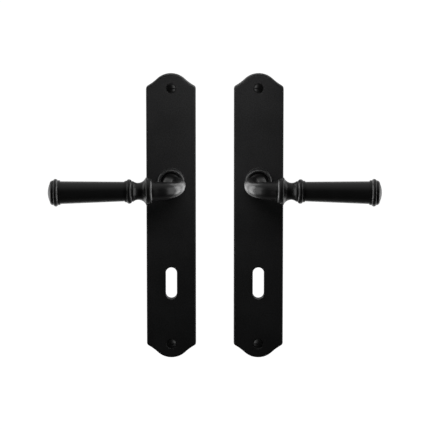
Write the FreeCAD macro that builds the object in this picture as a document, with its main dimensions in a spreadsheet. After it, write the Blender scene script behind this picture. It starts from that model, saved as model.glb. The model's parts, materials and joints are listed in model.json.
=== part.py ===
import FreeCAD, Part
import math
import os

import Sketcher
from FreeCAD import Vector

# A pair of sprung lever handles on long arched backplates, one for each side of a door.
# Both stand side by side in one plane. The backs lie on Y = 0, the fronts face -Y and +Z is up.
# The origin is where the left lever's axis meets the back plane. All lengths are millimetres.

os.makedirs("parts", exist_ok=True)
doc = FreeCAD.newDocument("lever_handle_pair")

DRIVING_SIZES = [
    ("pair_spacing", 75.2, "from one lever axis to the other"),
    ("plate_width", 42.6, "backplate, across"),
    ("plate_depth", 8.0, "backplate, back to front"),
    ("top_reach", 92.9, "lever axis up to the top of the arch"),
    ("bottom_reach", 155.9, "lever axis down to the foot of the arch"),
    ("hump_radius", 17.3, "round hump of each arch"),
    ("hump_angle", 43.5, "slope where the hump runs into the hollow of the ogee"),
    ("shoulder_radius", 3.0, "rounded shoulder of each arch"),
    ("shoulder_angle", 30.0, "slope where the ogee runs into the shoulder"),
    ("front_rounding", 1.5, "rounded front edge of the backplate"),
    ("front_wall", 2.4, "backplate's front wall over the hollow"),
    ("side_wall", 2.6, "backplate's side walls"),
    ("end_block", 9.0, "solid from each shoulder line inwards, for the wood screws"),
    ("key_centre", 90.0, "lever axis down to the middle of the key slot"),
    ("key_width", 9.6, "key slot, across"),
    ("key_height", 28.3, "key slot, end to end"),
    ("key_wall", 2.2, "rim of the key slot behind the front wall"),
    ("key_rounding", 0.6, "softened front lip of the key slot"),
    ("boss_radius", 11.4, "outside of the boss round the neck"),
    ("boss_height", 5.5, "boss in front of the backplate"),
    ("boss_cove", 0.6, "cove at the foot of the boss"),
    ("boss_bore", 8.7, "radius of the bore through the boss"),
    ("shank_radius", 7.2, "lever shank where it turns in the bush"),
    ("running_gap", 0.05, "shank in its bush, all round"),
    ("bush_gap", 0.04, "bush in the boss, all round"),
    ("clear_gap", 0.3, "between pieces that pass each other"),
    ("bush_flange", 10.4, "radius of the bush's flange"),
    ("bush_flange_depth", 0.8, "bush's flange, thick"),
    ("washer_radius", 10.2, "thrust washer, outside"),
    ("washer_depth", 0.5, "thrust washer, thick"),
    ("driver_radius", 10.3, "drive plate's disc"),
    ("driver_depth", 1.8, "drive plate, thick"),
    ("ear_reach", 12.4, "drive plate's ear, furthest from the axis"),
    ("ear_thickness", 1.2, "folded ear, thick"),
    ("ear_width", 3.0, "folded ear, across"),
    ("ear_rise", 1.1, "folded ear behind the drive plate"),
    ("flats", 12.0, "across the two flats at the end of the shank"),
    ("ring_depth", 1.0, "retaining ring, thick"),
    ("ring_radius", 9.2, "retaining ring, outside"),
    ("ring_groove", 6.5, "radius at the bottom of the ring's groove"),
    ("ring_opening", 6.0, "gap of the retaining ring"),
    ("shank_end", 0.3, "shank beyond the retaining ring"),
    ("cover_depth", 0.8, "spring cover, thick"),
    ("cover_inset", 0.1, "spring cover in front of the back plane"),
    ("cover_width", 34.0, "spring cover, across"),
    ("cover_height", 46.0, "spring cover, up and down"),
    ("cover_hole", 6.5, "radius of the spring cover's middle hole"),
    ("post_reach", 18.6, "lever axis to each cover screw"),
    ("post_radius", 2.8, "posts that the cover screws enter"),
    ("cover_screw_radius", 1.25, "cover screw's shank"),
    ("cover_screw_head", 2.2, "radius of the cover screw's flush head"),
    ("cover_screw_length", 4.4, "cover screw, overall"),
    ("cover_screw_slot", 0.6, "width of the cover screw's slot"),
    ("spring_wire", 0.7, "radius of the spring's wire"),
    ("spring_radius", 13.6, "coil, to the middle of the wire"),
    ("spring_leg", 17.3, "outer leg's end, from the axis"),
    ("spring_bend", 1.5, "where the coil runs into each leg"),
    ("leg_angle", 180.0, "outer leg, in degrees round from the grip's side"),
    ("ear_angle", 90.0, "drive plate's ear at rest, in degrees round from the grip's side"),
    ("stop_depth", 2.3, "stops, out of the front wall"),
    ("stop_inner", 10.8, "stops' inner radius"),
    ("stop_arc", 12.0, "stops, in degrees round the axis"),
    ("lever_travel", 45.0, "lever, in degrees from rest to its lower stop"),
    ("screw_inset", 12.2, "arch end to the wood screw"),
    ("screw_hole", 2.4, "radius of the wood screw's hole"),
    ("countersink", 4.6, "radius of the countersink at the front face"),
    ("screw_head", 3.9, "radius of the wood screw's head"),
    ("screw_dome", 1.05, "raised part of the head"),
    ("screw_shank", 2.1, "radius of the wood screw's plain shank"),
    ("screw_plain", 6.0, "plain shank behind the back plane"),
    ("screw_core", 1.7, "radius of the wood screw's threaded length"),
    ("screw_reach", 27.0, "wood screw behind the back plane"),
    ("screw_point", 6.0, "tapered point of the wood screw"),
    ("screw_tip", 0.2, "radius at the very end of the wood screw"),
    ("screw_slot", 1.1, "width of the wood screw's slot"),
    ("screw_slot_depth", 0.9, "depth of the wood screw's slot"),
    ("spindle_width", 8.0, "square spindle, across the flats"),
    ("spindle_length", 110.0, "square spindle, overall"),
    ("spindle_chamfer", 0.5, "chamfer round each end of the spindle"),
    ("socket_gap", 0.1, "spindle in its square socket, each side"),
    ("socket_depth", 15.3, "square socket, from the end of the shank"),
    ("grip_reach", 42.0, "front face of the backplate to the middle of the grip"),
    ("grip_droop", 1.0, "grip below level at rest, in degrees"),
    ("rim_radius", 7.8, "rim of the shank in the mouth of the boss"),
    ("rim_width", 1.4, "rim of the shank, along the axis"),
    ("foot_radius", 6.7, "neck where it leaves the rim"),
    ("heel_radius", 5.8, "neck at the heel of its curl"),
    ("heel_lean", 6.6, "neck's middle line past the lever axis at the heel"),
    ("heel_rise", 8.5, "rim forwards to where the neck stands fully out"),
    ("elbow_reach", 17.0, "middle line of the elbow, from the heel towards the grip"),
    ("elbow_power", 3.4, "squareness of the elbow's oval middle line, 2 being an ellipse"),
    ("elbow_crowding", 1.5, "how much closer the elbow's sections lie at its start"),
    ("elbow_radius", 7.71, "neck at the end of the elbow"),
    ("elbow_swell", 1.5, "how late the neck thickens round the elbow"),
    ("arm_radius", 8.35, "neck where it meets the collar"),
    ("collar_start", 15.6, "lever axis to the collar"),
    ("collar_radius", 11.9, "crest of the collar"),
    ("collar_band", 10.6, "radius of the band behind the crest"),
    ("collar_shoulder", 2.2, "rounded shoulder of the collar, along the grip"),
    ("collar_width", 5.1, "collar, from the neck to its crest"),
    ("waist_start", 27.4, "lever axis to the thinnest place of the waist"),
    ("waist_radius", 7.25, "thinnest place of the waist"),
    ("front_ring_start", 31.3, "lever axis to the ring beside the waist"),
    ("front_ring_radius", 8.8, "ring beside the waist"),
    ("front_ring_width", 1.4, "ring beside the waist, along the grip"),
    ("front_bead_radius", 10.45, "bead at the root of the grip"),
    ("front_bead_width", 4.5, "bead at the root of the grip, along it"),
    ("front_step_radius", 9.3, "step between bead and grip"),
    ("front_step_width", 1.6, "step between bead and grip, along it"),
    ("grip_root", 8.35, "grip's radius at its root"),
    ("grip_length", 54.7, "plain taper of the grip"),
    ("grip_end", 9.68, "grip's radius at its outer end"),
    ("end_step_radius", 10.6, "step between grip and end bead"),
    ("end_step_width", 1.9, "step between grip and end bead, along it"),
    ("end_bead_radius", 11.8, "bead at the end of the grip"),
    ("end_bead_width", 3.8, "bead at the end of the grip, along it"),
    ("cap_groove", 10.2, "radius of the groove beside the end cap"),
    ("cap_groove_width", 0.3, "groove beside the end cap"),
    ("cap_radius", 10.5, "end cap"),
    ("cap_band", 0.1, "end cap's straight edge, along it"),
    ("cap_rounding", 2.6, "end cap's rounded corner"),
    ("cap_dome", 1.75, "end cap's shallow dome"),
]

sheet = doc.addObject("Spreadsheet::Sheet", "sizes")
for row, (alias, number, meaning) in enumerate(DRIVING_SIZES, start=1):
    sheet.set("A%d" % row, meaning)
    sheet.set("B%d" % row, str(number))
    sheet.setAlias("B%d" % row, alias)
doc.recompute()


class Size:
    """A number together with the sheet formula that gives it."""

    def __init__(self, number, formula):
        self.number = float(number)
        self.formula = formula

    def joined(self, other, number, sign):
        return Size(number, "(%s %s %s)" % (self.formula, sign, other.formula))

    def __add__(self, other):
        other = as_size(other)
        return self.joined(other, self.number + other.number, "+")

    def __sub__(self, other):
        other = as_size(other)
        return self.joined(other, self.number - other.number, "-")

    def __mul__(self, other):
        other = as_size(other)
        return self.joined(other, self.number * other.number, "*")

    def __truediv__(self, other):
        other = as_size(other)
        return self.joined(other, self.number / other.number, "/")

    def __radd__(self, other):
        return as_size(other) + self

    def __rsub__(self, other):
        return as_size(other) - self

    def __rmul__(self, other):
        return as_size(other) * self

    def __neg__(self):
        return Size(-self.number, "(0 - %s)" % self.formula)


def as_size(value):
    return value if isinstance(value, Size) else Size(value, repr(float(value)))


def sine(angle):
    angle = as_size(angle)
    return Size(math.sin(math.radians(angle.number)), "sin(%s)" % angle.formula)


def cosine(angle):
    angle = as_size(angle)
    return Size(math.cos(math.radians(angle.number)), "cos(%s)" % angle.formula)


def named(alias):
    return Size(sheet.get(alias), "sizes." + alias)


# ---- the driving sizes, and what follows from them ----

pair_spacing = named("pair_spacing")
clear_gap = named("clear_gap")
plate_depth = named("plate_depth")
half_width = named("plate_width") / 2
top_reach = named("top_reach")
bottom_reach = named("bottom_reach")
floor_y = named("front_wall") - plate_depth
face_y = -plate_depth
crest_y = face_y - named("boss_height")

flange_y = floor_y + named("bush_flange_depth")
washer_y = flange_y + named("washer_depth")
driver_y = washer_y + named("driver_depth")
ring_y = driver_y + named("ring_depth")
shank_end_y = ring_y + named("shank_end")
cover_back_y = -named("cover_inset")
cover_front_y = cover_back_y - named("cover_depth")
rim_y = crest_y + named("clear_gap")
foot_y = rim_y - named("rim_width")
grip_y = face_y - named("grip_reach")
screw_top_z = top_reach - named("screw_inset")
screw_bottom_z = named("screw_inset") - bottom_reach

# How finely the free curves are laid out, and what counts as nothing.
COIL_POINTS = 40
LEAN_STATIONS = 5
ELBOW_STATIONS = 9
NOTHING = 1e-6


# ---- sketching and building helpers ----

def centre_of(start, end, radius, turn):
    """Centre of an arc from its ends, its radius and whether it bends left (1) or right (-1)."""
    chord = end - start
    half = chord.Length / 2
    offset = math.sqrt(max(radius * radius - half * half, 0.0))
    left = Vector(-chord.y, chord.x, 0).normalize()
    return (start + end) * 0.5 + left * (offset * turn)


def bind(sketch, index, size):
    sketch.setExpression("Constraints[%d]" % index, size.formula)


def pin(sketch, geometry, position, x, y):
    """Hold one end of a piece of geometry at x, y by formula, or on an axis where it is zero."""
    for kind, axis, size in (("DistanceX", -2, as_size(x)), ("DistanceY", -1, as_size(y))):
        if abs(size.number) < NOTHING:
            sketch.addConstraint(Sketcher.Constraint("PointOnObject", geometry, position, axis))
        else:
            rule = Sketcher.Constraint(kind, geometry, position, size.number)
            bind(sketch, sketch.addConstraint(rule), size)


def draw(sketch, corners):
    """Draw a closed outline. A corner is (x, y), or (x, y, radius, turn) where an arc leaves it.

    A radius of None is a half circle. Turn is 1 for an arc that bends left and -1 for right.
    """
    ends = []
    for index, corner in enumerate(corners):
        following = corners[(index + 1) % len(corners)]
        start = Vector(as_size(corner[0]).number, as_size(corner[1]).number, 0)
        end = Vector(as_size(following[0]).number, as_size(following[1]).number, 0)
        if len(corner) == 2:
            ends.append((sketch.addGeometry(Part.LineSegment(start, end)), 1, 2))
            continue
        half_circle = corner[2] is None
        radius = as_size((end - start).Length / 2 if half_circle else corner[2])
        centre = centre_of(start, end, radius.number, corner[3])
        first, last = (start, end) if corner[3] > 0 else (end, start)
        begin_angle = math.atan2(first.y - centre.y, first.x - centre.x)
        end_angle = math.atan2(last.y - centre.y, last.x - centre.x)
        if end_angle <= begin_angle:
            end_angle += 2 * math.pi
        circle = Part.Circle(centre, Vector(0, 0, 1), radius.number)
        arc = sketch.addGeometry(Part.ArcOfCircle(circle, begin_angle, end_angle))
        ends.append((arc, 1, 2) if corner[3] > 0 else (arc, 2, 1))
        if half_circle and abs(end.x - start.x) > abs(end.y - start.y):
            middle = (as_size(corner[1]) + following[1]) / 2
            rule = Sketcher.Constraint("DistanceY", arc, 3, middle.number)
            bind(sketch, sketch.addConstraint(rule), middle)
        elif half_circle:
            middle = (as_size(corner[0]) + following[0]) / 2
            rule = Sketcher.Constraint("DistanceX", arc, 3, middle.number)
            bind(sketch, sketch.addConstraint(rule), middle)
        else:
            bind(sketch, sketch.addConstraint(Sketcher.Constraint("Radius", arc, radius.number)), radius)
    for index, corner in enumerate(corners):
        geometry, position, _ = ends[index]
        before, _, before_end = ends[index - 1]
        sketch.addConstraint(
            Sketcher.Constraint("Coincident", before, before_end, geometry, position)
        )
        pin(sketch, geometry, position, corner[0], corner[1])


def draw_circle(sketch, x, y, radius):
    x, y, radius = as_size(x), as_size(y), as_size(radius)
    centre = Vector(x.number, y.number, 0)
    circle = sketch.addGeometry(Part.Circle(centre, Vector(0, 0, 1), radius.number))
    pin(sketch, circle, 3, x, y)
    bind(sketch, sketch.addConstraint(Sketcher.Constraint("Radius", circle, radius.number)), radius)


def sketch_on(body, role, offset=0.0):
    """A sketch on one of the body's own origin planes, or a bound distance along its normal."""
    sketch = body.newObject("Sketcher::SketchObject", body.Name + "_sketch")
    plane = [item for item in body.Origin.OriginFeatures if item.Role == role][0]
    sketch.AttachmentSupport = [(plane, "")]
    sketch.MapMode = "FlatFace"
    sketch.setExpression(".AttachmentOffset.Base.z", as_size(offset).formula)
    return sketch


def pad(body, sketch, depth, towards_back=False):
    """Fill a front-view sketch towards -Y, or towards +Y."""
    feature = body.newObject("PartDesign::Pad", body.Name + "_pad")
    feature.Profile = sketch
    feature.Reversed = towards_back
    feature.setExpression("Length", as_size(depth).formula)
    doc.recompute()
    return feature


def pocket(body, sketch, depth, towards_back=False):
    """Cut a front-view sketch towards -Y, or towards +Y, and make sure that it cuts."""
    before = body.Shape.Volume
    feature = body.newObject("PartDesign::Pocket", body.Name + "_pocket")
    feature.Profile = sketch
    feature.Reversed = not towards_back
    feature.setExpression("Length", as_size(depth).formula)
    doc.recompute()
    assert body.Shape.Volume < before - NOTHING, "a pocket of %s cuts nothing" % body.Label
    return feature


def spin(body, sketch):
    """Turn an XY sketch round its upright axis, which is the body's Y axis."""
    feature = body.newObject("PartDesign::Revolution", body.Name + "_turned")
    feature.Profile = sketch
    feature.ReferenceAxis = (sketch, ["V_Axis"])
    feature.Angle = 360
    doc.recompute()
    return feature


def soften(body, kind, edges, size):
    """Round or chamfer the named edges of the body as it stands."""
    base = body.Tip
    feature = body.newObject("PartDesign::" + kind, body.Name + "_" + kind.lower())
    feature.Base = (base, edges)
    feature.setExpression("Radius" if kind == "Fillet" else "Size", as_size(size).formula)
    doc.recompute()
    return feature


def edges_at_front(body, wanted):
    """Names of the edges that lie in the plate's front face and meet the given test."""
    names = []
    for index, edge in enumerate(body.Tip.Shape.Edges, start=1):
        box = edge.BoundBox
        flat = max(abs(box.YMin - face_y.number), abs(box.YMax - face_y.number)) < NOTHING
        if flat and wanted(edge):
            names.append("Edge%d" % index)
    return names


def new_body(label, x, z=0.0):
    body = doc.addObject("PartDesign::Body", label)
    body.Label = label
    place(body, x, z)
    return body


def place(item, x, z=0.0):
    item.setExpression(".Placement.Base.x", as_size(x).formula)
    item.setExpression(".Placement.Base.z", as_size(z).formula)


def rounded_box(half_across, half_up, corner):
    """Corners of a rectangle with rounded corners, centred, anticlockwise."""
    left, right = -half_across, half_across
    foot, head = -half_up, half_up
    return [
        (right - corner, foot, corner, 1),
        (right, foot + corner),
        (right, head - corner, corner, 1),
        (right - corner, head),
        (left + corner, head, corner, 1),
        (left, head - corner),
        (left, foot + corner, corner, 1),
        (left + corner, foot),
    ]


# ---- backplate ----

def arch(reach, upwards):
    """Right half of an arch, from the shoulder up to its end on the middle line."""
    hump = named("hump_radius")
    shoulder = named("shoulder_radius")
    hump_angle = named("hump_angle")
    shoulder_angle = named("shoulder_angle")
    hollow = (half_width - hump * sine(hump_angle) - shoulder * (1 - sine(shoulder_angle))) / (
        sine(hump_angle) - sine(shoulder_angle)
    )
    hump_x = hump * sine(hump_angle)
    hump_z = reach - hump * (1 - cosine(hump_angle))
    shoulder_x = half_width - shoulder * (1 - sine(shoulder_angle))
    shoulder_z = hump_z - hollow * (cosine(shoulder_angle) - cosine(hump_angle))
    side_z = shoulder_z - shoulder * cosine(shoulder_angle)
    return {
        "side": (half_width, upwards * side_z, shoulder, upwards),
        "shoulder": (shoulder_x, upwards * shoulder_z, hollow, -upwards),
        "hump": (hump_x, upwards * hump_z, hump, upwards),
        "end": (as_size(0), upwards * reach),
        "side_z": side_z,
    }


top_arch = arch(top_reach, 1)
bottom_arch = arch(bottom_reach, -1)


def plate_outline():
    """The whole outline anticlockwise, each arch as hump, hollow and shoulder."""
    def mirrored(corner):
        return (-corner[0],) + tuple(corner[1:])

    right_top = [top_arch["side"], top_arch["shoulder"], top_arch["hump"]]
    left_top = [
        top_arch["end"] + (named("hump_radius"), 1),
        mirrored(top_arch["hump"])[:2] + (top_arch["shoulder"][2], -1),
        mirrored(top_arch["shoulder"])[:2] + (named("shoulder_radius"), 1),
        mirrored(top_arch["side"])[:2],
    ]
    left_bottom = [
        mirrored(bottom_arch["side"])[:2] + (named("shoulder_radius"), 1),
        mirrored(bottom_arch["shoulder"])[:2] + (bottom_arch["shoulder"][2], -1),
        mirrored(bottom_arch["hump"])[:2] + (named("hump_radius"), 1),
    ]
    right_bottom = [
        bottom_arch["end"] + (named("hump_radius"), 1),
        bottom_arch["hump"][:2] + (bottom_arch["shoulder"][2], -1),
        bottom_arch["shoulder"][:2] + (named("shoulder_radius"), 1),
        bottom_arch["side"][:2],
    ]
    return right_top + left_top + left_bottom + right_bottom


def stadium(half_across, half_height, middle):
    """Round-ended upright slot, anticlockwise, about a height."""
    upper = middle + half_height - half_across
    lower = middle - half_height + half_across
    return [
        (half_across, lower),
        (half_across, upper, None, 1),
        (-half_across, upper),
        (-half_across, lower, None, 1),
    ]


def boss_profile():
    """Half section of the boss: cove, wall, round crest and bore, as radius and depth."""
    radius = named("boss_radius")
    cove = named("boss_cove")
    crest = (radius - named("boss_bore")) / 2
    root_y = face_y + named("front_wall") / 2
    return [
        (named("boss_bore"), root_y),
        (named("boss_bore"), crest_y + crest, None, 1),
        (radius, crest_y + crest),
        (radius, face_y - cove, cove, -1),
        (radius + cove, face_y),
        (radius + cove, root_y),
    ]


def ring_sector(side, inner, outer, start, end):
    """Part of a ring between two angles, measured from the grip's side up and over."""
    corners = []
    for radius, angle in ((inner, start), (outer, start), (outer, end), (inner, end)):
        corners.append((side * radius * cosine(angle), radius * sine(angle)))
    return [
        corners[0],
        corners[1] + (outer, side),
        corners[2],
        corners[3] + (inner, -side),
    ]


def half_angle(width, radius):
    """Half the angle, in degrees, that a small width fills at a radius."""
    return width / radius * (90 / math.pi)


def stop_angles():
    """Where the two stops start and end round the axis: beyond the ear at rest and pressed."""
    ear = half_angle(named("ear_width"), named("stop_inner"))
    gap = half_angle(clear_gap * 2, named("stop_inner"))
    rest = named("ear_angle") + ear + gap
    pressed = named("ear_angle") - named("lever_travel") - ear - gap
    return [(rest, rest + named("stop_arc")), (pressed - named("stop_arc"), pressed)]


def backplate(name, side, x):
    body = new_body(name + "_backplate", x)
    outline = sketch_on(body, "XZ_Plane")
    draw(outline, plate_outline())
    pad(body, outline, plate_depth)
    soften(body, "Fillet", edges_at_front(body, lambda edge: True), named("front_rounding"))

    hollow = sketch_on(body, "XZ_Plane")
    across = half_width - named("side_wall")
    upper = top_arch["side_z"] - named("end_block")
    lower = named("end_block") - bottom_arch["side_z"]
    draw(hollow, [(across, lower), (across, upper), (-across, upper), (-across, lower)])
    key_z = -named("key_centre")
    key_half = named("key_width") / 2
    rim_half = key_half + named("key_wall")
    draw(hollow, stadium(rim_half, named("key_height") / 2 + named("key_wall"), key_z))
    for way in (1, -1):
        draw_circle(hollow, 0, way * named("post_reach"), named("post_radius"))
    pocket(body, hollow, -floor_y)

    boss = sketch_on(body, "XY_Plane")
    draw(boss, boss_profile())
    spin(body, boss)
    bore = sketch_on(body, "XZ_Plane")
    draw_circle(bore, 0, 0, named("boss_bore"))
    pocket(body, bore, plate_depth + named("boss_height"))

    lug = sketch_on(body, "XZ_Plane", -cover_front_y + clear_gap)
    lug_foot = named("spring_wire") + clear_gap
    lug_inner = named("spring_radius") + named("spring_wire") + 2 * clear_gap
    wall_x = half_width - named("side_wall") / 2
    head_z = lug_foot + named("side_wall")
    corners = [(-side * wall_x, lug_foot), (-side * lug_inner, lug_foot)]
    corners += [(-side * lug_inner, head_z), (-side * wall_x, head_z)]
    draw(lug, corners)
    pad(body, lug, -floor_y + cover_front_y - clear_gap + named("front_wall") / 2)

    stops = sketch_on(body, "XZ_Plane", -floor_y - named("stop_depth"))
    for start, end in stop_angles():
        draw(stops, ring_sector(side, named("stop_inner"), named("ear_reach"), start, end))
    pad(body, stops, named("stop_depth") + named("front_wall") / 2)

    key_slot = sketch_on(body, "XZ_Plane")
    draw(key_slot, stadium(key_half, named("key_height") / 2, key_z))
    pocket(body, key_slot, plate_depth)

    def of_key_slot(edge):
        box = edge.BoundBox
        near = abs(box.Center.z - key_z.number) < named("key_height").number
        return near and max(abs(box.XMin), abs(box.XMax)) < key_half.number + NOTHING

    soften(body, "Fillet", edges_at_front(body, of_key_slot), named("key_rounding"))

    post_holes = sketch_on(body, "XZ_Plane")
    for way in (1, -1):
        draw_circle(post_holes, 0, way * named("post_reach"), named("cover_screw_radius"))
    pocket(body, post_holes, named("cover_screw_length") + named("cover_inset") + clear_gap)
    post_tops = sketch_on(body, "XZ_Plane")
    for way in (1, -1):
        draw_circle(post_tops, 0, way * named("post_reach"), named("post_radius") + clear_gap)
    pocket(body, post_tops, -cover_front_y)

    screw_holes = sketch_on(body, "XZ_Plane")
    for height in (screw_top_z, screw_bottom_z):
        draw_circle(screw_holes, 0, height, named("screw_hole"))
    pocket(body, screw_holes, plate_depth)

    def of_screw_hole(edge):
        round_edge = edge.Curve.TypeId == "Part::GeomCircle"
        return round_edge and abs(edge.Curve.Radius - named("screw_hole").number) < NOTHING

    sink = named("countersink") - named("screw_hole")
    soften(body, "Chamfer", edges_at_front(body, of_screw_hole), sink)
    return body


# ---- bearing, drive and spring ----

def neck_bush(name, side, x):
    """Nylon liner: a tube in the boss with a flange behind the front wall."""
    body = new_body(name + "_neck_bush", x)
    inner = named("shank_radius") + named("running_gap")
    outer = named("boss_bore") - named("bush_gap")
    front = rim_y + clear_gap
    profile = sketch_on(body, "XY_Plane")
    draw(profile, [
        (inner, front),
        (outer, front),
        (outer, floor_y),
        (named("bush_flange"), floor_y),
        (named("bush_flange"), flange_y),
        (inner, flange_y),
    ])
    spin(body, profile)
    return body


def thrust_washer(name, side, x):
    body = new_body(name + "_thrust_washer", x)
    inner = named("shank_radius") + clear_gap
    profile = sketch_on(body, "XY_Plane")
    draw(profile, [
        (inner, flange_y),
        (named("washer_radius"), flange_y),
        (named("washer_radius"), washer_y),
        (inner, washer_y),
    ])
    spin(body, profile)
    return body


def flat_sided_circle(sketch, radius, half_flats):
    """Circle of a shank with two flats, above and below."""
    reach = Size(
        math.sqrt(radius.number ** 2 - half_flats.number ** 2),
        "sqrt(%s * %s - %s * %s)" % (radius.formula, radius.formula,
                                     half_flats.formula, half_flats.formula),
    )
    draw(sketch, [
        (reach, -half_flats, radius, 1),
        (reach, half_flats),
        (-reach, half_flats, radius, 1),
        (-reach, -half_flats),
    ])


def drive_plate(name, side, x):
    """Disc on the shank's flats, with an arm that is folded back into an ear."""
    body = new_body(name + "_drive_plate", x)
    disc = sketch_on(body, "XZ_Plane", -driver_y)
    draw_circle(disc, 0, 0, named("driver_radius"))
    pad(body, disc, named("driver_depth"))
    half = named("ear_width") / 2
    inner = named("ear_reach") - named("ear_thickness")
    arm = sketch_on(body, "XZ_Plane", -driver_y)
    draw(arm, [(half, inner / 2), (half, named("ear_reach")),
               (-half, named("ear_reach")), (-half, inner / 2)])
    pad(body, arm, named("driver_depth"))
    ear = sketch_on(body, "XZ_Plane", -driver_y - named("ear_rise"))
    draw(ear, [(half, inner), (half, named("ear_reach")), (-half, named("ear_reach")), (-half, inner)])
    pad(body, ear, named("driver_depth") + named("ear_rise"))
    hole = sketch_on(body, "XZ_Plane", -driver_y)
    gap = named("running_gap")
    flat_sided_circle(hole, named("shank_radius") + gap, named("flats") / 2 + gap)
    pocket(body, hole, named("driver_depth"))
    return body


def retaining_ring(name, side, x):
    """Open ring in the shank's groove, with its opening at the bottom."""
    body = new_body(name + "_retaining_ring", x)
    inner = named("ring_groove") + named("running_gap")
    ring = sketch_on(body, "XZ_Plane", -ring_y)
    draw_circle(ring, 0, 0, named("ring_radius"))
    draw_circle(ring, 0, 0, inner)
    pad(body, ring, named("ring_depth"))
    opening = sketch_on(body, "XZ_Plane", -ring_y)
    half = named("ring_opening") / 2
    foot = -named("ring_radius") - clear_gap
    draw(opening, [(-half, foot), (half, foot), (half, as_size(-1)), (-half, as_size(-1))])
    pocket(body, opening, named("ring_depth"))
    return body


def return_spring(name, side, x):
    """Torsion spring: a leg in to the ear, a coil, and a leg out to the backplate's lug."""
    wire = named("spring_wire").number
    coil = named("spring_radius").number
    ear = half_angle(named("ear_width"), named("stop_inner")).number
    leg_gap = half_angle((named("spring_wire") + clear_gap) * 2, named("stop_inner")).number
    start = math.radians(named("ear_angle").number - ear - leg_gap)
    end = math.radians(named("leg_angle").number + 360.0)
    back_y = driver_y.number + named("ear_rise").number - wire - clear_gap.number / 2
    front_y = floor_y.number + clear_gap.number + wire
    inner_leg = named("stop_inner").number + wire / 2
    bend = named("spring_bend").number
    ease = bend / coil / 5

    def at(radius, angle, y):
        return Vector(side * radius * math.cos(angle), y, radius * math.sin(angle))

    points = [at(inner_leg, start, back_y), at((inner_leg + coil - bend) / 2, start, back_y)]
    points.append(at(coil - bend / 2, start + ease, back_y))
    first = start + bend / coil
    last = end - bend / coil
    for step in range(COIL_POINTS + 1):
        share = step / COIL_POINTS
        points.append(at(coil, first + (last - first) * share, back_y + (front_y - back_y) * share))
    points.append(at(coil + bend / 2, end - ease, front_y))
    points.append(at((coil + bend + named("spring_leg").number) / 2, end, front_y))
    points.append(at(named("spring_leg").number, end, front_y))
    curve = Part.BSplineCurve()
    curve.interpolate(points)
    path = Part.Wire([curve.toShape()])
    tangent = curve.tangent(curve.FirstParameter)[0]
    section = Part.Wire([Part.makeCircle(wire, points[0], tangent)])
    spring = doc.addObject("Part::Feature", name + "_return_spring")
    spring.Shape = path.makePipeShell([section], True, True)
    spring.Label = name + "_return_spring"
    place(spring, x)
    return spring


def spring_cover(name, side, x):
    """Sheet cover with a middle hole and two countersunk screw holes."""
    body = new_body(name + "_spring_cover", x)
    sheet_metal = sketch_on(body, "XZ_Plane", -cover_back_y)
    half_up = named("cover_height") / 2
    draw(sheet_metal, rounded_box(named("cover_width") / 2, half_up, named("post_radius")))
    draw_circle(sheet_metal, 0, 0, named("cover_hole"))
    pad(body, sheet_metal, named("cover_depth"))
    holes = sketch_on(body, "XZ_Plane")
    for way in (1, -1):
        draw_circle(holes, 0, way * named("post_reach"), named("cover_screw_head"))
    pocket(body, holes, -cover_front_y)
    return body


def cover_screw(label, x, z):
    """Small slotted screw with a flat head that ends flush with the cover."""
    body = new_body(label, x, z)
    head = named("cover_screw_head") - named("bush_gap")
    shank = named("cover_screw_radius") - named("bush_gap")
    profile = sketch_on(body, "XY_Plane")
    tip_y = cover_back_y - named("cover_screw_length")
    draw(profile, [
        (as_size(0), cover_back_y),
        (as_size(0), tip_y),
        (shank, tip_y),
        (shank, cover_front_y),
        (head, cover_front_y),
        (head, cover_back_y),
    ])
    spin(body, profile)
    slot = sketch_on(body, "XZ_Plane")
    half = named("cover_screw_slot") / 2
    draw(slot, [(-head * 2, -half), (head * 2, -half), (head * 2, half), (-head * 2, half)])
    pocket(body, slot, named("cover_depth") / 2 + named("cover_inset"))
    return body


# ---- screws and spindle ----

def wood_screw(label, x, z):
    """Raised countersunk wood screw with a level slot."""
    body = new_body(label, x, z)
    head = named("screw_head")
    shank = named("screw_shank")
    dome = named("screw_dome")
    rim = face_y + (named("countersink") - head)
    dome_radius = Size(
        (head.number ** 2 + dome.number ** 2) / (2 * dome.number),
        "((%s * %s + %s * %s) / (2 * %s))" % (head.formula, head.formula, dome.formula,
                                              dome.formula, dome.formula),
    )
    neck_y = rim + head - shank
    reach = named("screw_reach")
    profile = sketch_on(body, "XY_Plane")
    draw(profile, [
        (as_size(0), rim - dome, dome_radius, 1),
        (head, rim),
        (shank, neck_y),
        (shank, named("screw_plain")),
        (named("screw_core"), named("screw_plain")),
        (named("screw_core"), reach - named("screw_point")),
        (named("screw_tip"), reach),
        (as_size(0), reach),
    ])
    spin(body, profile)
    slot = sketch_on(body, "XZ_Plane", dome - rim)
    half = named("screw_slot") / 2
    draw(slot, [(-head, -half), (head, -half), (head, half), (-head, half)])
    pocket(body, slot, named("screw_slot_depth"), towards_back=True)
    return body


def square_spindle(x):
    """Square bar with chamfered ends, from the bottom of the left socket out of the back."""
    bar = doc.addObject("Part::Box", "square_bar")
    width = named("spindle_width")
    chamfer = named("spindle_chamfer").number
    start_y = shank_end_y - named("socket_depth") + named("socket_gap")
    for prop, size in (("Length", width), ("Width", named("spindle_length")), ("Height", width)):
        bar.setExpression(prop, size.formula)
    bar.setExpression(".Placement.Base.x", (x - width / 2).formula)
    bar.setExpression(".Placement.Base.y", start_y.formula)
    bar.setExpression(".Placement.Base.z", (-width / 2).formula)
    doc.recompute()
    spindle = doc.addObject("Part::Chamfer", "spindle")
    spindle.Base = bar
    ends = []
    for index, edge in enumerate(bar.Shape.Edges, start=1):
        if edge.BoundBox.YLength < NOTHING:
            ends.append((index, chamfer, chamfer))
    spindle.Edges = ends
    spindle.Label = "spindle"
    return spindle


# ---- lever ----

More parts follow.
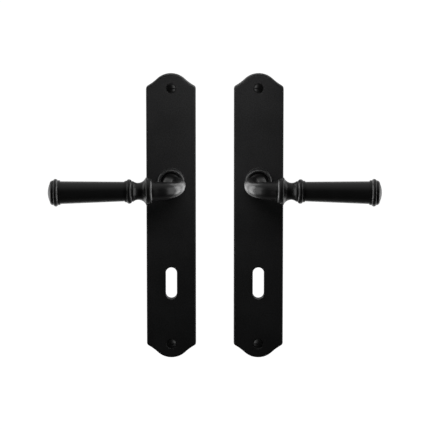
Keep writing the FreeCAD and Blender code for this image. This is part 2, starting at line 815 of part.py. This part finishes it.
def shank_profile():
    """Half section of the shank about the lever axis, as radius and depth."""
    radius = named("shank_radius")
    groove = named("ring_groove")
    rim = named("rim_radius")
    return [
        (as_size(0), shank_end_y),
        (as_size(0), foot_y),
        (named("foot_radius"), foot_y),
        (rim, foot_y + named("rim_width") / 4),
        (rim, rim_y - named("rim_width") / 4),
        (radius, rim_y),
        (radius, driver_y),
        (groove, driver_y),
        (groove, ring_y),
        (radius, ring_y),
        (radius, shank_end_y),
    ]


def grip_profile(side):
    """Half section of collar, waist, beads, grip and end cap, as distance and radius."""
    collar = named("collar_start")
    crest = collar + named("collar_width")
    waist = named("waist_start")
    ring = named("front_ring_start")
    bead = ring + named("front_ring_width")
    step = bead + named("front_bead_width")
    grip = step + named("front_step_width")
    grip_out = grip + named("grip_length")
    end_bead = grip_out + named("end_step_width")
    groove = end_bead + named("end_bead_width")
    cap = groove + named("cap_groove_width")
    corner = cap + named("cap_band")
    rounding = named("cap_rounding")
    face = corner + rounding
    tip = face + named("cap_dome")

    def sagging(start, end, low, high):
        """Radius of an arc that leaves the lower end level and climbs to the higher one."""
        run = end - start
        rise = high - low
        return (run * run + rise * rise) / (2 * rise)

    def crowned(width, rise):
        """Radius of an arc that stands up by a rise over a width."""
        return (width * width / 4 + rise * rise) / (2 * rise)

    front_low = named("front_ring_radius")
    front_rise = named("front_bead_radius") - front_low
    end_low = named("end_step_radius")
    end_rise = named("end_bead_radius") - end_low
    cap_face = named("cap_radius") - rounding
    dome = (cap_face * cap_face + named("cap_dome") * named("cap_dome")) / (2 * named("cap_dome"))
    shoulder = named("collar_shoulder")
    corners = [
        (collar, as_size(0)),
        (collar, named("arm_radius"), shoulder, -1),
        (collar + shoulder, named("collar_band")),
        (crest - named("front_ring_width") / 2, named("collar_band")),
        (crest, named("collar_radius"), sagging(crest, waist, named("waist_radius"),
                                                named("collar_radius")), 1),
        (waist, named("waist_radius"), sagging(waist, ring, named("waist_radius"),
                                               front_low - clear_gap), 1),
        (ring, front_low - clear_gap),
        (ring, front_low),
        (bead, front_low, crowned(named("front_bead_width"), front_rise), -1),
        (step, front_low),
        (step, named("front_step_radius")),
        (grip, named("front_step_radius") - clear_gap),
        (grip, named("grip_root")),
        (grip_out, named("grip_end")),
        (grip_out, end_low),
        (end_bead, end_low, crowned(named("end_bead_width"), end_rise), -1),
        (groove, end_low),
        (groove, named("cap_groove")),
        (cap, named("cap_groove")),
        (cap, named("cap_radius")),
        (corner, named("cap_radius"), rounding, -1),
        (face, cap_face, dome, -1),
        (tip, as_size(0)),
    ]
    turned = []
    for corner_values in corners:
        entry = (side * corner_values[0], corner_values[1])
        if len(corner_values) == 4:
            entry += (corner_values[2], side * corner_values[3])
        turned.append(entry)
    return turned


def revolved(label, corners, axis):
    """A turned solid from a free sketch, round X or Y."""
    sketch = doc.addObject("Sketcher::SketchObject", label + "_profile")
    draw(sketch, corners)
    turned = doc.addObject("Part::Revolution", label)
    turned.Source = sketch
    turned.Axis = axis
    turned.Base = Vector(0, 0, 0)
    turned.Angle = 360
    turned.Solid = True
    return turned


def neck_stations():
    """Middle line of the neck as (out, depth, heading, radius), from the rim to the collar.

    It leans away from the grip as it leaves the boss, then follows a quarter of a squared oval
    round to the grip's axis. Out is measured towards the grip, and heading is the turn from
    straight forwards, in degrees.
    """
    lean = named("heel_lean")
    rise = named("heel_rise")
    foot = named("foot_radius")
    heel = named("heel_radius")
    arm = named("arm_radius")
    reach = named("elbow_reach")
    run = foot_y - rise - grip_y
    squareness = 2 / named("elbow_power").number
    stations = []
    for step in range(LEAN_STATIONS):
        share = step / LEAN_STATIONS
        eased = share * share * (3 - 2 * share)
        slimmed = math.sin(share * math.pi / 2)
        stations.append((-lean * eased, foot_y - rise * share, 0.0, foot - (foot - heel) * slimmed))
    crowding = named("elbow_crowding").number
    swell = named("elbow_swell").number
    for step in range(ELBOW_STATIONS + 1):
        angle = math.radians(90.0 * (step / ELBOW_STATIONS) ** crowding)
        back, forward = math.cos(angle) ** squareness, math.sin(angle) ** squareness
        heading = 90.0 if step == ELBOW_STATIONS else math.degrees(math.atan(
            (reach.number / run.number) * (forward / back) ** (2 / squareness - 1)
        ))
        share = heading / 90.0
        stations.append((reach * (1 - back) - lean, foot_y - rise - run * forward, heading,
                         heel + (named("elbow_radius") - heel) * share ** swell))
    stations.append((named("collar_start"), grip_y, 90.0, arm))
    return stations


def neck(name, side):
    """Loft of round sections along the neck's middle line."""
    sections = []
    for index, (out, depth, heading, radius) in enumerate(neck_stations()):
        ring = doc.addObject("Part::Circle", "%s_neck_ring_%d" % (name, index))
        ring.setExpression("Radius", as_size(radius).formula)
        turned = FreeCAD.Rotation(Vector(0, 0, 1), side * heading)
        upright = FreeCAD.Rotation(Vector(1, 0, 0), 90)
        ring.Placement = FreeCAD.Placement(Vector(0, 0, 0), turned.multiply(upright))
        ring.setExpression(".Placement.Base.x", (side * as_size(out)).formula)
        ring.setExpression(".Placement.Base.y", as_size(depth).formula)
        sections.append(ring)
    loft = doc.addObject("Part::Loft", name + "_neck")
    loft.Sections = sections
    loft.Solid = True
    loft.Ruled = False
    return loft


def lever(name, side, x):
    """One casting: shank, curled neck, collar and turned grip, with flats and a square socket."""
    arm = neck(name, side)
    grip = revolved(name + "_grip", grip_profile(side), Vector(1, 0, 0))
    grip.setExpression(".Placement.Base.y", grip_y.formula)
    drooped = doc.addObject("Part::MultiFuse", name + "_arm_and_grip")
    drooped.Shapes = [arm, grip]
    drooped.Placement = FreeCAD.Placement(Vector(0, 0, 0), FreeCAD.Rotation(Vector(0, side, 0), 0))
    drooped.setExpression(".Placement.Rotation.Angle", named("grip_droop").formula)
    shank = revolved(name + "_shank", shank_profile(), Vector(0, 1, 0))
    solid = doc.addObject("Part::MultiFuse", name + "_casting")
    solid.Shapes = [drooped, shank]

    socket = doc.addObject("Part::Box", name + "_socket")
    across = named("spindle_width") + 2 * named("socket_gap")
    depth = named("socket_depth")
    socket.setExpression("Length", across.formula)
    socket.setExpression("Width", depth.formula)
    socket.setExpression("Height", across.formula)
    socket.setExpression(".Placement.Base.x", (-across / 2).formula)
    socket.setExpression(".Placement.Base.y", (shank_end_y - depth).formula)
    socket.setExpression(".Placement.Base.z", (-across / 2).formula)
    tools = [socket]
    radius = named("shank_radius")
    for way, word in ((1, "upper"), (-1, "lower")):
        flat = doc.addObject("Part::Box", "%s_%s_flat" % (name, word))
        flat.setExpression("Length", (2 * radius).formula)
        flat.setExpression("Width", (shank_end_y - washer_y).formula)
        flat.setExpression("Height", radius.formula)
        flat.setExpression(".Placement.Base.x", (-radius).formula)
        flat.setExpression(".Placement.Base.y", washer_y.formula)
        base_z = named("flats") / 2 if way == 1 else -named("flats") / 2 - radius
        flat.setExpression(".Placement.Base.z", base_z.formula)
        tools.append(flat)
    cuts = doc.addObject("Part::MultiFuse", name + "_lever_cuts")
    cuts.Shapes = tools
    finished = doc.addObject("Part::Cut", name + "_lever")
    finished.Base = solid
    finished.Tool = cuts
    finished.Label = name + "_lever"
    place(finished, x)
    return finished


# ---- the whole pair ----

pieces = []
for name, side, x in (("left", -1, as_size(0)), ("right", 1, pair_spacing)):
    makers = (backplate, neck_bush, lever, thrust_washer, drive_plate, retaining_ring,
              return_spring, spring_cover)
    for make in makers:
        pieces.append(make(name, side, x))
    for word, way in (("upper", 1), ("lower", -1)):
        height = way * named("post_reach")
        pieces.append(cover_screw("%s_%s_cover_screw" % (name, word), x, height))
    for word, height in (("top", screw_top_z), ("bottom", screw_bottom_z)):
        pieces.append(wood_screw("%s_%s_wood_screw" % (name, word), x, height))
pieces.append(square_spindle(as_size(0)))
doc.recompute()

for item in doc.Objects:
    faults = [word for word in item.State if word in ("Invalid", "Error")]
    assert not faults, "%s is %s" % (item.Label, faults)
for piece in pieces:
    shape = piece.Shape
    assert not shape.isNull() and shape.isValid(), piece.Label + " has no sound shape"
    assert len(shape.Solids) == 1, "%s has %d solids" % (piece.Label, len(shape.Solids))
    shape.exportStep("parts/%s.step" % piece.Label)
    print(piece.Label, round(shape.Volume, 1))
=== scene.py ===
import json
import math

import bpy
import numpy as np
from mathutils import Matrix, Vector


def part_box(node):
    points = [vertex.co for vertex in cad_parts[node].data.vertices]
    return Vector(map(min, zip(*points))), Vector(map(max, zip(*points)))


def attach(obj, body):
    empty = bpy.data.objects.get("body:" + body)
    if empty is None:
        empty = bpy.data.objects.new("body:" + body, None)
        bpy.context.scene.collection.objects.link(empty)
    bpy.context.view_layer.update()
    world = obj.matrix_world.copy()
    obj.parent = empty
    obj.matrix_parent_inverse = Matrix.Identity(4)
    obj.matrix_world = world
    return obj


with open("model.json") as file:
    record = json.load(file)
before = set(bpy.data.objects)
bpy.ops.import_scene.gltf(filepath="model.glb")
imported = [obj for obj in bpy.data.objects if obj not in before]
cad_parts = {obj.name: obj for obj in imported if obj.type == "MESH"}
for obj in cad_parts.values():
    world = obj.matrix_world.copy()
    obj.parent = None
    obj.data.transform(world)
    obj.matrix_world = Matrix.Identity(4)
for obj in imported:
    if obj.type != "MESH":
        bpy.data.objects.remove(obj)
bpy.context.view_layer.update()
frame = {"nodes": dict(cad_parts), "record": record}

# A pair of sprung lever handles on long arched backplates. Lengths are metres, in the frame of
# the CAD: backs on Y = 0, fronts towards -Y, +Z up, origin on the left lever's axis.

MM = 0.001


# ---- shader maths ----

class Field:
    """A socket's value in a material, with arithmetic that adds Math nodes."""

    def __init__(self, finish, socket):
        self.finish = finish
        self.socket = socket

    def maths(self, operation, *others, swapped=False):
        terms = [self, *others]
        if swapped:
            terms.reverse()
        return self.finish.add("ShaderNodeMath", {"operation": operation}, terms)

    def __add__(self, other):
        return self.maths("ADD", other)

    def __radd__(self, other):
        return self.maths("ADD", other, swapped=True)

    def __sub__(self, other):
        return self.maths("SUBTRACT", other)

    def __rsub__(self, other):
        return self.maths("SUBTRACT", other, swapped=True)

    def __mul__(self, other):
        return self.maths("MULTIPLY", other)

    def __rmul__(self, other):
        return self.maths("MULTIPLY", other, swapped=True)

    def __pow__(self, other):
        return self.maths("POWER", other)

    def smooth(self, low, high):
        """0 below low, 1 above high, easing between them."""
        inputs = {"Value": self, "From Min": low, "From Max": high}
        return self.finish.add("ShaderNodeMapRange", {"interpolation_type": "SMOOTHSTEP"}, inputs)


class Finish:
    """A node tree under construction, of a material or of the world."""

    def __init__(self, tree):
        self.tree = tree
        tree.nodes.clear()

    def add(self, kind, settings=None, inputs=None, output=0):
        """A node of a kind, its settings first, then the values or links of its sockets."""
        node = self.tree.nodes.new(kind)
        for key, value in (settings or {}).items():
            setattr(node, key, value)
        given = inputs.items() if isinstance(inputs, dict) else enumerate(inputs or [])
        for key, value in given:
            socket = node.inputs[key]
            if isinstance(value, Field):
                self.tree.links.new(value.socket, socket)
            else:
                socket.default_value = value
        return Field(self, node.outputs[output]) if node.outputs else None

    def place(self):
        """Where a point is on its piece, in metres."""
        return self.add("ShaderNodeTexCoord", output="Object")

    def noise(self, where, scale, detail=2.0, roughness=0.5):
        """Soft random variation about 0.5, its scale in waves a metre."""
        inputs = {"Vector": where, "Scale": scale, "Detail": detail, "Roughness": roughness}
        return self.add("ShaderNodeTexNoise", inputs=inputs)

    def stretched(self, where, factors):
        """A place whose three parts are each multiplied by their own factor."""
        return self.add("ShaderNodeVectorMath", {"operation": "MULTIPLY"}, [where, factors])

    def parts(self, vector):
        """The three parts of a vector."""
        split = self.add("ShaderNodeSeparateXYZ", inputs=[vector]).socket.node
        return [Field(self, socket) for socket in split.outputs]

    def seen_by(self):
        """1 for rays from the camera, and 1 for rays that a gloss or a glass sends on."""
        rays = self.add("ShaderNodeLightPath").socket.node.outputs
        mirrored = Field(self, rays["Is Glossy Ray"]) + Field(self, rays["Is Transmission Ray"])
        return Field(self, rays["Is Camera Ray"]), mirrored

    def bump(self, height, distance, normal=None):
        """A normal that follows a height, of which 1 stands for a distance in metres."""
        inputs = {"Height": height, "Distance": distance}
        if normal is not None:
            inputs["Normal"] = normal
        return self.add("ShaderNodeBump", inputs=inputs)

    def blend(self, share, first, second):
        """A colour that goes from the first to the second with the share."""
        settings = {"data_type": "RGBA", "clamp_factor": True}
        return self.add("ShaderNodeMix", settings, {0: share, 6: first, 7: second}, output=2)

    def close(self, sockets):
        """Join a Principled shader with these sockets to the material's output."""
        shader = self.add("ShaderNodeBsdfPrincipled", inputs=sockets)
        self.add("ShaderNodeOutputMaterial", inputs={"Surface": shader})


def finish_named(name):
    """A new material and its empty node tree."""
    material = bpy.data.materials.new(name)
    material.use_nodes = True
    return material, Finish(material.node_tree)


def grey(level, tint=0.0):
    """A grey of a level, its blue raised by a tint."""
    return (level, level, level * (1 + tint), 1.0)


# ---- finishes ----

PLATE_DARK, PLATE_LIGHT, PLATE_SPECK = 0.0150, 0.0268, 0.035
PLATE_TINT = 0.02
PLATE_GLOSS = 0.15

# The smoother boss reaches this far from a lever's axis. The axes are as far apart as the screws.
BOSS_REACH = 11.6 * MM
BOSS_GLOSS, BOSS_ROUGHNESS = 0.7, 0.42
left_screw, right_screw = (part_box(side + "_top_wood_screw") for side in ("left", "right"))
BETWEEN_AXES = right_screw[0].x - left_screw[0].x

SATIN_DARK, SATIN_LIGHT = 0.0080, 0.0110
SATIN_ROUGHNESS = 0.28
SATIN_GLOSS = 1.0

# How much of its colour a grained metal keeps in the darkest lines.
SHADED = 0.82


def powder_coat():
    """Matt black powder coat: a fine pebbled skin over a softly uneven casting.

    The boss round each lever's axis is rubbed smoother, so it has a clear coat's gloss.
    """
    material, make = finish_named("powder_coat_black")
    where = make.place()
    across, depth, height = make.parts(where)
    off_middle = (across - BETWEEN_AXES / 2).maths("ABSOLUTE") - BETWEEN_AXES / 2
    off_axis = (off_middle ** 2 + height ** 2) ** 0.5
    rubbed = 1 - off_axis.smooth(BOSS_REACH - 0.2 * MM, BOSS_REACH + 0.3 * MM)
    grain = make.noise(where, 1000, 3.0, 0.6)
    ripple = make.noise(where, 90, 2.0)
    patches = make.noise(where, 28, 3.0)
    speck = make.noise(where, 2600, 1.0).smooth(0.62, 0.78)
    tone = (patches * 0.35 + grain * 0.65).smooth(0.38, 0.62)
    skin = make.blend(tone, grey(PLATE_DARK, PLATE_TINT), grey(PLATE_LIGHT, PLATE_TINT))
    colour = make.blend(speck * 0.35, skin, grey(PLATE_SPECK))
    rough = 0.52 + patches * 0.06 + grain * 0.06
    uneven = make.bump(ripple, 0.06 * MM)
    pebbled = make.bump(grain, 0.05 * MM, uneven)
    make.close({"Base Color": colour, "Roughness": rough, "Normal": pebbled,
                "Specular IOR Level": PLATE_GLOSS,
                "Coat Weight": rubbed * BOSS_GLOSS, "Coat Roughness": BOSS_ROUGHNESS})
    return material


def satin_coat():
    """Satin black coat over a polished casting: smooth, with a faint orange peel."""
    material, make = finish_named("satin_coat_black")
    where = make.place()
    peel = make.noise(where, 420, 2.0)
    dust = make.noise(where, 1900, 2.0)
    patches = make.noise(where, 35, 3.0)
    skin = make.blend(patches.smooth(0.35, 0.65), grey(SATIN_DARK), grey(SATIN_LIGHT))
    rough = SATIN_ROUGHNESS + patches * 0.06 + dust * 0.05
    surface = make.bump(peel, 0.006 * MM)
    make.close({"Base Color": skin, "Roughness": rough, "Normal": surface,
                "Specular IOR Level": SATIN_GLOSS})
    return material


def simple(name, colour, metallic, roughness, grain_scale, stretch):
    """A plain finish with a fine grain, drawn out along one direction."""
    material, make = finish_named(name)
    where = make.place()
    lines = make.noise(make.stretched(where, stretch), grain_scale, 3.0)
    clouds = make.noise(where, 120, 2.0)
    level = (lines * 0.5 + clouds * 0.5).smooth(0.3, 0.7)
    shaded = tuple(part * SHADED for part in colour[:3]) + (1.0,)
    shade = make.blend(level, shaded, colour)
    surface = make.bump(lines, 0.01 * MM)
    make.close({"Base Color": shade, "Metallic": metallic,
                "Roughness": roughness + clouds * 0.1, "Normal": surface})
    return material


finishes = {
    "plate_coat": powder_coat(),
    "lever_coat": satin_coat(),
    "screw_coat": satin_coat(),
    "nylon": simple("black_nylon", grey(0.03), 0.0, 0.4, 300, (1, 1, 1)),
    "plated_steel": simple("zinc_plated_steel", (0.62, 0.63, 0.62, 1), 1.0, 0.3, 900, (1, 1, 6)),
    "spring_steel": simple("oiled_spring_steel", (0.33, 0.33, 0.35, 1), 1.0, 0.3, 900, (1, 1, 1)),
    "spindle_steel": simple("bright_square_bar", (0.56, 0.56, 0.55, 1), 1.0, 0.32, 900,
                            (8, 0.4, 8)),
}
slot_of_node = {part["node"]: part["material_slot"] for part in frame["record"]["subparts"]}
for name, node in frame["nodes"].items():
    for slot in node.material_slots:
        slot.material = finishes[slot_of_node[name]]


# ---- threads of the wood screws ----

def thread(name, screw):
    """The raised thread of a wood screw: a ridge wound round its core, from the plain shank
    to the point.

    Along it, the turn round the screw's axis grows evenly and the depth by one pitch a turn.
    Across it, the ridge has the outline of a rounded triangle whose foot is sunk in the core.
    The core's radius stays the same up to the point, where it runs down in a straight taper,
    and the ridge's rise eases in over its first turn and out over its last two.
    """
    pitch, core, rise, sunk = 1.75 * MM, 1.7 * MM, 0.4 * MM, 0.03 * MM
    steps_a_turn, blunt = 40, 0.12
    low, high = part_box(screw)
    middle = (low + high) / 2
    begin, point, end = 5.2 * MM, 21 * MM, high.y - 0.8 * MM
    turns = (end - begin) / pitch
    along = np.linspace(0, turns, int(turns * steps_a_turn))[:, None]
    depth = begin + along * pitch
    taper = np.clip((high.y - depth) / (high.y - point), blunt, 1)
    eased = np.clip(np.minimum(along, (turns - along) / 2), 0, 1)
    foot = np.array([[-0.45, -0.3, -0.1, 0.1, 0.3, 0.45, 0.0]])
    height = np.array([[-0.35, 0.35, 1.0, 1.0, 0.35, -0.35, -0.5]])
    radius = core * taper - sunk + rise * eased * (0.35 + 0.65 * taper) * height
    y = depth + foot * pitch * 0.55 * eased * (0.4 + 0.6 * taper)
    angle = along * 2 * np.pi + 0 * foot
    places = np.stack([middle.x + radius * np.cos(angle), y,
                       middle.z + radius * np.sin(angle)], axis=-1)
    return skin(name, places, "backplates", "screw_coat")


def skin(name, places, body, slot):
    """A closed tube from a grid of places: rows along it, columns round it, its ends capped."""
    rows, columns = places.shape[:2]
    mesh = bpy.data.meshes.new(name)
    index = np.arange(rows * columns).reshape(rows, columns)
    here, there = index[:-1], index[1:]
    quads = np.stack([here, np.roll(here, -1, 1), np.roll(there, -1, 1), there], axis=-1)
    faces = quads.reshape(-1, 4).tolist() + [index[0][::-1].tolist(), index[-1].tolist()]
    mesh.from_pydata(places.reshape(-1, 3).tolist(), [], faces)
    mesh.shade_smooth()
    piece = bpy.data.objects.new(name, mesh)
    bpy.context.scene.collection.objects.link(piece)
    mesh.materials.append(finishes[slot])
    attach(piece, body)
    return piece


for node_name in frame["nodes"]:
    if node_name.endswith("wood_screw"):
        thread(node_name + "_thread", node_name)


# ---- camera ----

ELEVATION = math.radians(11.5)
DISTANCE = 2.9
LENS = 282
FARTHEST_SEEN = 50
PLATE_FACE = -8 * MM
ASIDE, RAISED = 0.13 * MM, 2 * MM

plate_low, plate_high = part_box("left_backplate")
middle_x = (plate_low.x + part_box("right_backplate")[1].x) / 2
middle_z = (plate_low.z + plate_high.z) / 2
aim = Vector((middle_x + ASIDE, PLATE_FACE, middle_z + RAISED))
away = Vector((0, -math.cos(ELEVATION), math.sin(ELEVATION)))
camera = bpy.data.objects.new("camera", bpy.data.cameras.new("camera"))
camera.data.lens = LENS
camera.location = aim + away * DISTANCE
camera.rotation_euler = (-away).to_track_quat("-Z", "Y").to_euler()
camera.data.clip_end = FARTHEST_SEEN
bpy.context.scene.collection.objects.link(camera)
bpy.context.scene.camera = camera


# ---- floor, world and lamps ----

# How bright the studio is, as shares of the white backdrop.
ROOM_DARK = 0.009
CEILING = 0.155
SIDE_WALLS = 0.08
BACKDROP = 0.25
FLOOR_GLOW = 0.72
FLOOR_PAINT = 0.8

# Where the floor lies, from the plates' lower ends and backs.
FLOOR_BELOW = 0.2
FLOOR_BEHIND = 0.17
FLOOR_REACH = 6.0

# The floor's own sun, in watts per square metre, and the softboxes' strengths.
FLOOR_SUN = 1.3
KEY = 3.3
FILL = 0.9
FRONT = 5.8
SIDE = 1.6
RIM = 1.0
OUTER = 0.7
EDGE = 2.6


def floor():
    """A flat rectangle of pale board, a little below the plates and behind them."""
    mesh = bpy.data.meshes.new("floor")
    level = plate_low.z - FLOOR_BELOW
    corners = [(-FLOOR_REACH, FLOOR_BEHIND, level), (FLOOR_REACH, FLOOR_BEHIND, level),
               (FLOOR_REACH, FLOOR_REACH, level), (-FLOOR_REACH, FLOOR_REACH, level)]
    mesh.from_pydata(corners, [], [(0, 1, 2, 3)])
    piece = bpy.data.objects.new("floor", mesh)
    bpy.context.scene.collection.objects.link(piece)
    material, make = finish_named("pale_floor")
    paint = make.add("ShaderNodeBsdfDiffuse", inputs={"Color": grey(FLOOR_PAINT)})
    camera_ray, mirrored = make.seen_by()
    strength = (camera_ray + mirrored) * FLOOR_GLOW
    glow = make.add("ShaderNodeEmission", inputs={"Color": grey(1.0), "Strength": strength})
    both = make.add("ShaderNodeAddShader", inputs=[paint, glow])
    make.add("ShaderNodeOutputMaterial", inputs={"Surface": both})
    mesh.materials.append(material)
    return piece


def studio():
    """A white backdrop behind the pair, dim walls, a brighter ceiling and a dark room in front.

    The camera sees white all round. A gloss or a glass sees it where the backdrop is, behind.
    """
    world = bpy.data.worlds.new("studio")
    bpy.context.scene.world = world
    world.use_nodes = True
    make = Finish(world.node_tree)
    _, depth, height = make.parts(make.add("ShaderNodeTexCoord", output="Generated"))
    ceiling = height.smooth(0.45, 0.97) * CEILING
    walls = depth.smooth(-0.5, 0.0) * SIDE_WALLS
    backdrop = depth.smooth(0.3, 0.9) * BACKDROP
    room = ROOM_DARK + ceiling + walls + backdrop
    camera_ray, mirrored = make.seen_by()
    white = camera_ray + mirrored * depth.smooth(0.8, 0.95)
    strength = white + (1 - white) * room
    light = make.add("ShaderNodeBackground", inputs={"Color": grey(1.0), "Strength": strength})
    make.add("ShaderNodeOutputWorld", inputs={"Surface": light})


def softbox(name, place, target, size, radiance, lit, shading):
    """A rectangular lamp that faces a target. It lights some pieces, and others may shade them."""
    lamp = bpy.data.lights.new(name, "AREA")
    lamp.shape = "RECTANGLE"
    lamp.size, lamp.size_y = size
    lamp.energy = radiance * math.pi * size[0] * size[1]
    item = bpy.data.objects.new(name, lamp)
    item.location = place
    item.rotation_euler = (target - Vector(place)).to_track_quat("-Z", "Y").to_euler()
    item.visible_camera = False
    bpy.context.scene.collection.objects.link(item)
    item.light_linking.receiver_collection = gathered("lit_by_" + name, lit)
    item.light_linking.blocker_collection = gathered("shading_" + name, shading)


def gathered(name, pieces):
    """A collection of its own for some pieces."""
    own = bpy.data.collections.new(name)
    for piece in pieces:
        own.objects.link(piece)
    return own


def floor_sun(board):
    """A soft sun for the floor alone, so that the pair's shadow falls on it."""
    sun = bpy.data.lights.new("floor_sun", "SUN")
    sun.energy = FLOOR_SUN
    sun.angle = math.radians(12)
    item = bpy.data.objects.new("floor_sun", sun)
    item.rotation_euler = Vector((0.9, 1, -1)).to_track_quat("-Z", "Y").to_euler()
    bpy.context.scene.collection.objects.link(item)
    item.light_linking.receiver_collection = gathered("lit_by_floor_sun", [board])
    pair = frame["nodes"].values()
    item.light_linking.blocker_collection = gathered("shading_floor_sun", pair)


def light_unit(unit, inwards):
    """Softboxes round one unit's elbow, for its black coated pieces. Three are the plate's own.

    Inwards is 1 or -1, the way along X to the other unit.
    """
    bush_low, bush_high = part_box(unit + "_neck_bush")
    lever_low, lever_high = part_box(unit + "_lever")
    elbow = Vector(((bush_low.x + bush_high.x) / 2, lever_low.y, (bush_low.z + bush_high.z) / 2))
    own = {name: node for name, node in frame["nodes"].items()
           if name.startswith(unit) or (unit == "left" and name == "spindle")}
    flat = [own[unit + "_backplate"]]
    coated = [node for name, node in own.items() if slot_of_node[name].endswith("_coat")]
    raised = [node for node in coated if node not in flat]

    def box(name, around, rise, distance, size, radiance, lit):
        """A softbox so many degrees round from the front to the inner side, and so many up."""
        turn, lift = math.radians(around), math.radians(rise)
        way = Vector((inwards * math.sin(turn) * math.cos(lift),
                      -math.cos(turn) * math.cos(lift), math.sin(lift)))
        place = elbow + way * distance
        softbox(name + "_" + unit, place, elbow, size, radiance, lit, own.values())

    box("key", 104, 0, 0.6, (0.4, 1.0), KEY, coated)
    box("fill", 53, 5, 0.5, (0.41, 0.85), FILL, raised)
    box("rim", 142, 20, 0.6, (0.4, 1.0), RIM, coated)
    box("outer", -105, 5, 0.6, (0.5, 0.7), OUTER, raised)
    box("edge", -105, 5, 0.6, (0.5, 0.7), EDGE, flat)
    box("front", 24, 38, 0.18, (0.13, 0.09), FRONT, flat)
    box("side", 88, 38, 0.18, (0.09, 0.09), SIDE, flat)


pale_floor = floor()
studio()
light_unit("left", 1)
light_unit("right", -1)
floor_sun(pale_floor)

bpy.context.scene.view_settings.view_transform = "Standard"
